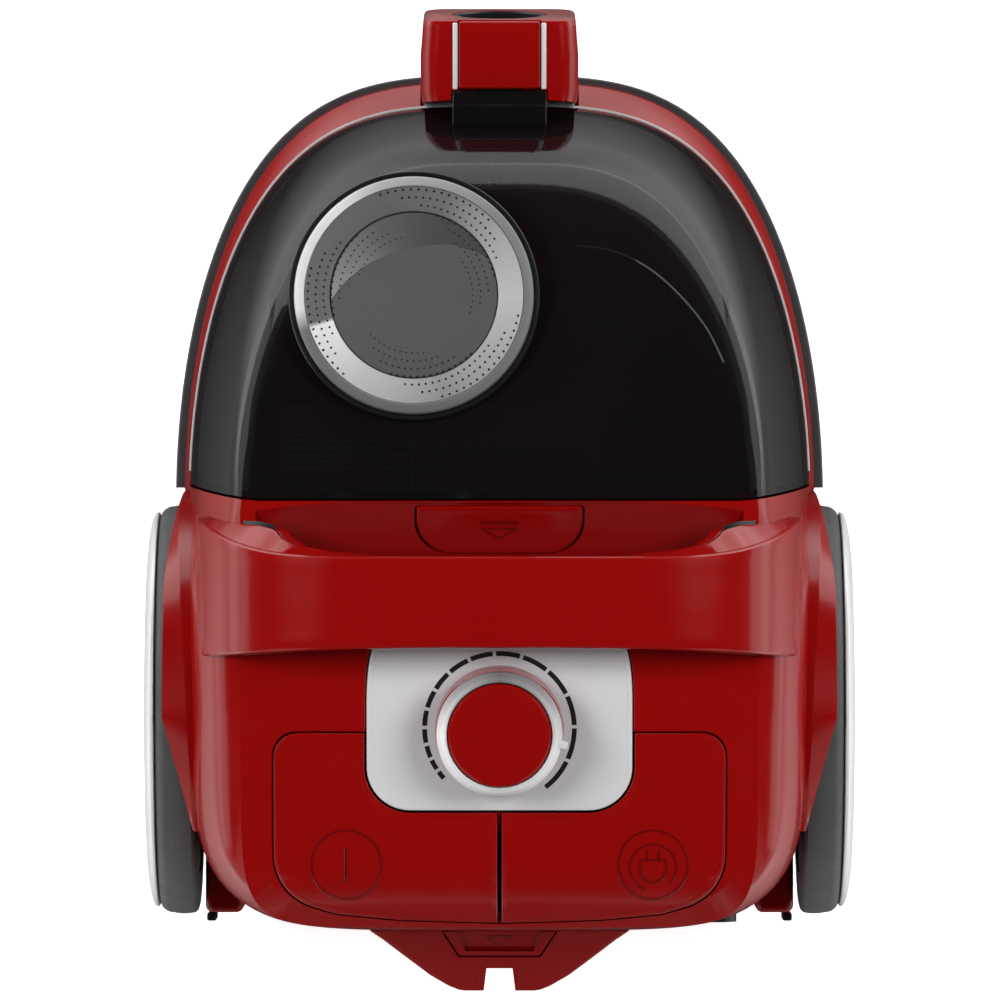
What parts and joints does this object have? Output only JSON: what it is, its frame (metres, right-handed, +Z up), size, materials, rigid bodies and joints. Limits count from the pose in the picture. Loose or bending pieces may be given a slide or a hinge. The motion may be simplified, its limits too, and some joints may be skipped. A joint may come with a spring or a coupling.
{
  "type": "canister vacuum cleaner",
  "caption": "Compact cyclonic canister vacuum cleaner with a smoky dust container, carry handle, foot pedals, power knob, large rear wheels and a front caster.",
  "frame": {"origin": "centre of the machine's outline in plan, on the floor it stands on", "axes": "+Y along the travel direction towards the hose socket, +X to the machine's right, +Z up"},
  "size_m": [0.2832, 0.3952, 0.238],
  "materials": {
    "red_plastic": "glossy red",
    "dark_grey_plastic": "satin",
    "black_plastic": "satin",
    "grey_plastic": "satin",
    "silver_paint": "satin silver lacquer",
    "smoky_plastic": "clear smoky moulding",
    "tyre_rubber": "matt",
    "steel": "plain",
    "filter_foam": "open foam",
    "green_board": "satin",
    "motor_metal": "pressed"
  },
  "bodies": {
    "machine": {"upper_casing": "red_plastic", "lower_casing": "red_plastic", "bumper_strip": "dark_grey_plastic", "handle_upper": "red_plastic", "handle_lower": "red_plastic", "control_panel": "silver_paint", "circuit_board": "green_board", "power_switch": "black_plastic", "pedal_frame": "grey_plastic", "pedal_pin": "steel", "power_pedal_spring": "steel", "rewind_pedal_spring": "steel", "bulkhead": "dark_grey_plastic", "container_cradle": "dark_grey_plastic", "hose_socket": "red_plastic", "socket_cover": "red_plastic", "left_wheel_axle": "steel", "right_wheel_axle": "steel", "motor_body": "motor_metal", "fan_cover": "motor_metal", "motor_seal": "black_plastic", "inlet_filter": "filter_foam", "exhaust_filter": "filter_foam", "reel_spindle": "steel", "cord_outlet": "black_plastic", "left_rear_foot": "black_plastic", "right_rear_foot": "black_plastic", "base_screw_1": "steel", "base_screw_2": "steel", "base_screw_3": "steel", "base_screw_4": "steel"},
    "left_wheel": {"left_tyre": "tyre_rubber", "left_wheel_rim": "grey_plastic", "left_hubcap": "silver_paint"},
    "right_wheel": {"right_tyre": "tyre_rubber", "right_wheel_rim": "grey_plastic", "right_hubcap": "silver_paint"},
    "caster_swivel": {"caster_fork": "dark_grey_plastic", "caster_axle": "steel"},
    "caster_roller": {"caster_wheel": "tyre_rubber"},
    "power_knob": {"knob_collar": "red_plastic", "knob_ring": "silver_paint", "knob_cap": "red_plastic", "knob_shaft": "steel"},
    "power_pedal": {"power_pedal": "red_plastic"},
    "rewind_pedal": {"rewind_pedal": "red_plastic"},
    "brake_lever": {"brake_lever": "grey_plastic"},
    "cord_reel": {"cord_reel": "grey_plastic"},
    "motor_rotor": {"impeller": "motor_metal", "motor_shaft": "steel"},
    "release_button": {"release_button": "red_plastic"},
    "dust_container": {"container_shell": "smoky_plastic", "container_floor": "black_plastic", "container_snout": "smoky_plastic", "cap_ring": "silver_paint", "cap_disc": "silver_paint", "cyclone_tube": "grey_plastic", "mesh_filter": "dark_grey_plastic"},
    "exhaust_cover": {"exhaust_cover": "red_plastic"},
    "exhaust_latch": {"exhaust_latch": "red_plastic"}
  },
  "joints": [
    {"name": "left_wheel_spin", "type": "hinge", "parent": "machine", "child": "left_wheel", "pos_m": [0, -0.0845, 0.0825], "axis": [1, 0, 0], "continuous": true},
    {"name": "right_wheel_spin", "type": "hinge", "parent": "machine", "child": "right_wheel", "pos_m": [0, -0.0845, 0.0825], "axis": [1, 0, 0], "continuous": true},
    {"name": "caster_swivel", "type": "hinge", "parent": "machine", "child": "caster_swivel", "pos_m": [0, 0.112, 0.038], "axis": [0, 0, 1], "continuous": true},
    {"name": "caster_roll", "type": "hinge", "parent": "caster_swivel", "child": "caster_roller", "pos_m": [0, 0.103, 0.014], "axis": [1, 0, 0], "continuous": true},
    {"name": "power_knob_turn", "type": "hinge", "parent": "machine", "child": "power_knob", "pos_m": [0, -0.0896, 0.2055], "axis": [0, -0.1045, 0.9945], "range_deg": [-41, 229]},
    {"name": "power_pedal_press", "type": "hinge", "parent": "machine", "child": "power_pedal", "pos_m": [0, -0.096, 0.1934], "axis": [1, 0, 0], "range_deg": [0, 4], "stiffness_Nm_per_rad": 3, "springref_deg": -2.86, "deforming": ["power_pedal_spring"]},
    {"name": "rewind_pedal_press", "type": "hinge", "parent": "machine", "child": "rewind_pedal", "pos_m": [0, -0.096, 0.1934], "axis": [1, 0, 0], "range_deg": [0, 4], "stiffness_Nm_per_rad": 3, "springref_deg": -2.86, "deforming": ["rewind_pedal_spring"]},
    {"name": "brake_lever_turn", "type": "hinge", "parent": "machine", "child": "brake_lever", "pos_m": [0.036, -0.14, 0.167], "axis": [1, 0, 0], "range_deg": [0, 12.5]},
    {"name": "cord_reel_spin", "type": "hinge", "parent": "machine", "child": "cord_reel", "pos_m": [0.048, -0.097, 0.098], "axis": [1, 0, 0], "continuous": true},
    {"name": "motor_spin", "type": "hinge", "parent": "machine", "child": "motor_rotor", "pos_m": [-0.038, -0.063, 0.112], "axis": [0, 1, 0], "continuous": true},
    {"name": "release_button_press", "type": "slide", "parent": "machine", "child": "release_button", "axis": [0, 0.626, -0.7798], "range_m": [0, 0.0025], "stiffness_N_per_m": 300, "springref_m": -0.003},
    {"name": "container_lift", "type": "slide", "parent": "machine", "child": "dust_container", "axis": [0, 0, 1], "range_m": [0, 0.19]},
    {"name": "exhaust_cover_pull", "type": "slide", "parent": "machine", "child": "exhaust_cover", "axis": [0, -1, 0], "range_m": [0, 0.05]},
    {"name": "exhaust_latch_press", "type": "hinge", "parent": "exhaust_cover", "child": "exhaust_latch", "pos_m": [0, -0.1728, 0.1235], "axis": [1, 0, 0], "range_deg": [0, 8], "stiffness_Nm_per_rad": 0.02, "springref_deg": -5.73}
  ],
  "couplings": [
    {"joint": "brake_lever_turn", "follows": "rewind_pedal_press", "ratio": 3}
  ]
}
